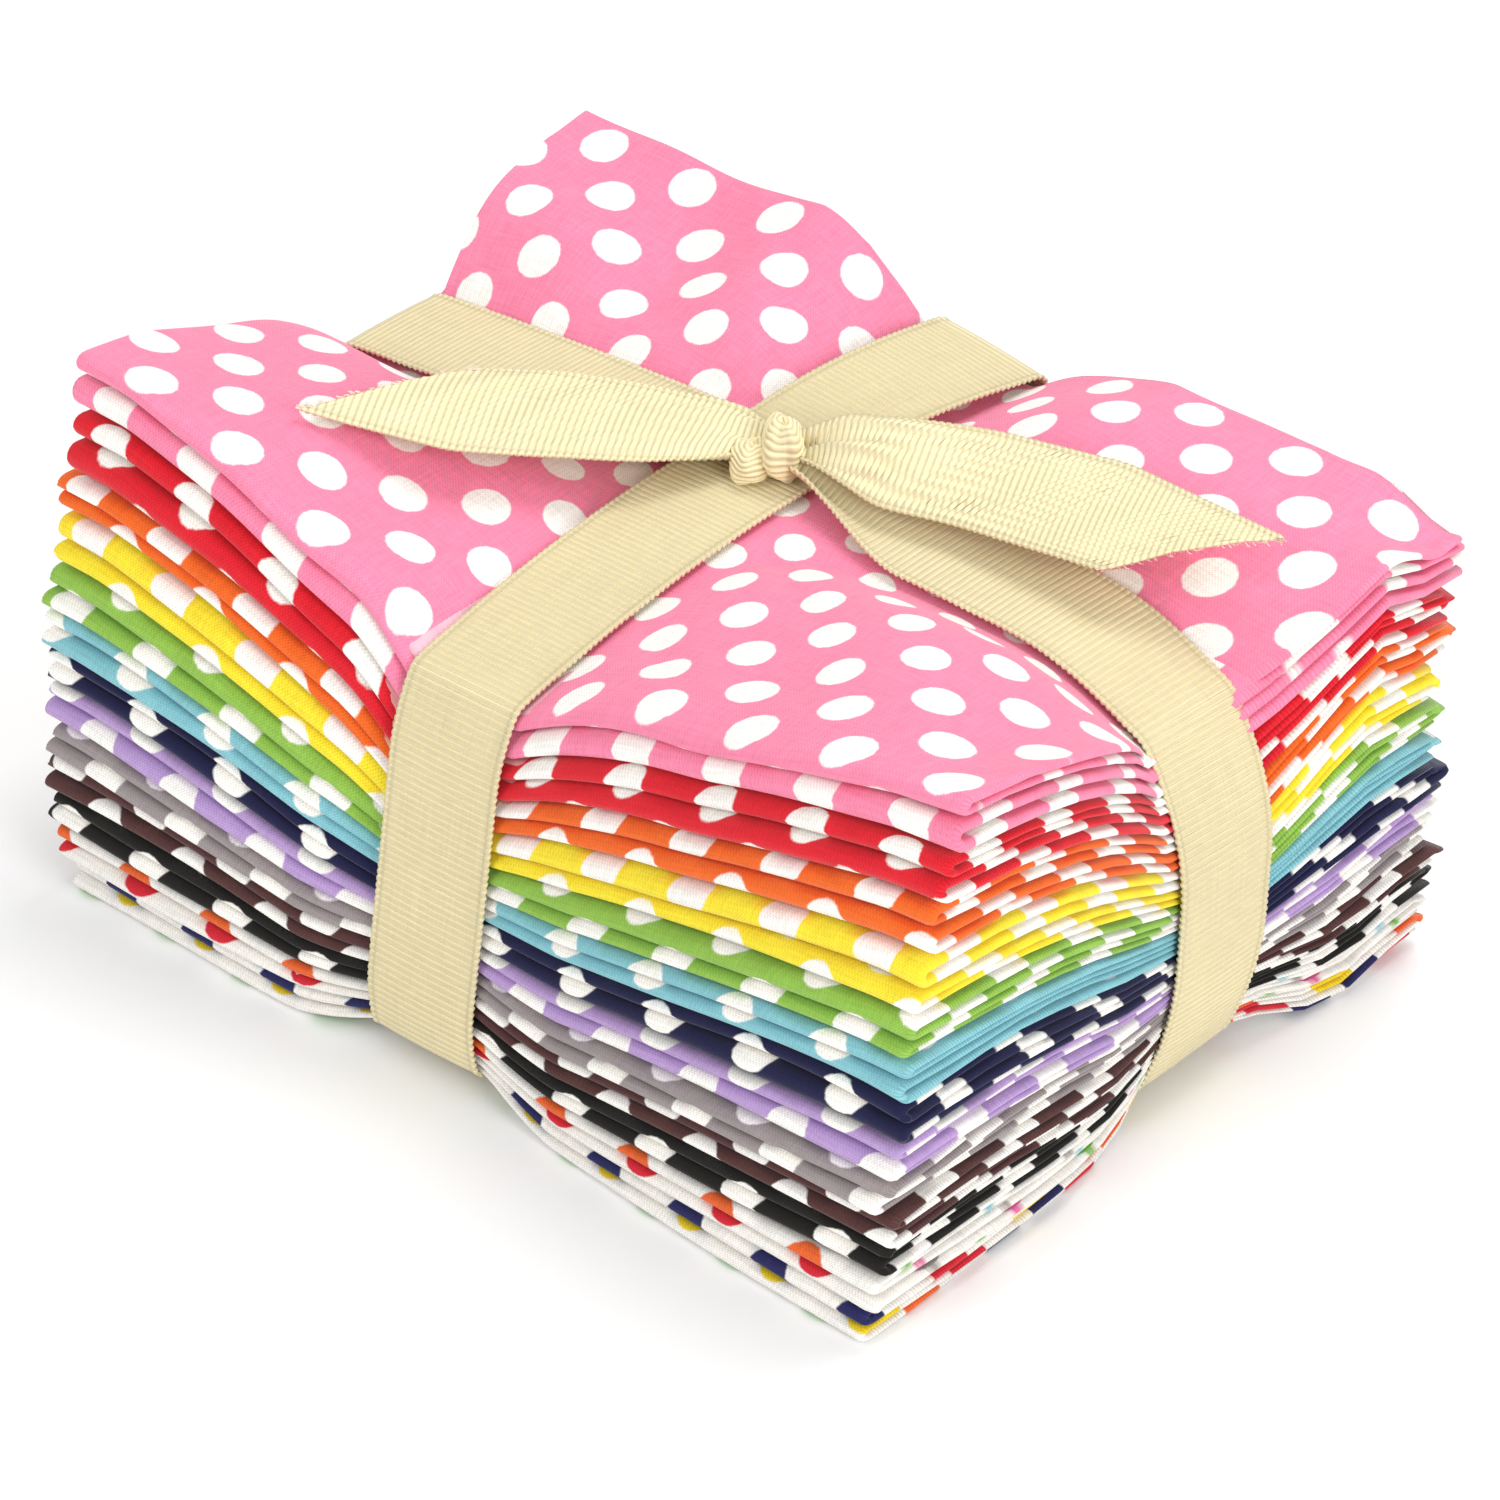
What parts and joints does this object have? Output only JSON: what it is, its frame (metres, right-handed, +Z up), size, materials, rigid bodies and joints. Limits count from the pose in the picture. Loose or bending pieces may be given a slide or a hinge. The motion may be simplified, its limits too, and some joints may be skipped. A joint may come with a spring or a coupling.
{
  "type": "fat quarter bundle",
  "caption": "Stack of folded polka-dot cotton fat quarters in rainbow order, tied both ways with a cream grosgrain ribbon knotted on top",
  "frame": {"origin": "middle of the bundle's outline, on the surface it rests on", "axes": "+Z up; +X along the folds, which face -Y; the layers' ends face +X and -X"},
  "size_m": [0.184, 0.141, 0.0946],
  "materials": {
    "pink": "printed plain-weave cotton with white dots",
    "red": "printed plain-weave cotton with white dots",
    "orange": "printed plain-weave cotton with white dots",
    "yellow": "printed plain-weave cotton with white dots",
    "lime": "printed plain-weave cotton with white dots",
    "aqua": "printed plain-weave cotton with white dots",
    "navy": "printed plain-weave cotton with white dots",
    "lavender": "printed plain-weave cotton with white dots",
    "grey": "printed plain-weave cotton with white dots",
    "brown": "printed plain-weave cotton with white dots",
    "black": "printed plain-weave cotton with white dots",
    "white_upper": "printed plain-weave cotton with dots of many colours",
    "white_lower": "printed plain-weave cotton with dots of many colours",
    "ribbon": "ribbed cream grosgrain with a soft sheen"
  },
  "bodies": {
    "root": {"fat_quarter_01_pink": "pink", "fat_quarter_02_red": "red", "fat_quarter_03_orange": "orange", "fat_quarter_04_yellow": "yellow", "fat_quarter_05_lime": "lime", "fat_quarter_06_aqua": "aqua", "fat_quarter_07_navy": "navy", "fat_quarter_08_lavender": "lavender", "fat_quarter_09_grey": "grey", "fat_quarter_10_brown": "brown", "fat_quarter_11_black": "black", "fat_quarter_12_white_upper": "white_upper", "fat_quarter_13_white_lower": "white_lower", "ribbon_across_folds": "ribbon", "ribbon_along_folds": "ribbon", "ribbon_knot_and_tails": "ribbon"}
  },
  "joints": []
}
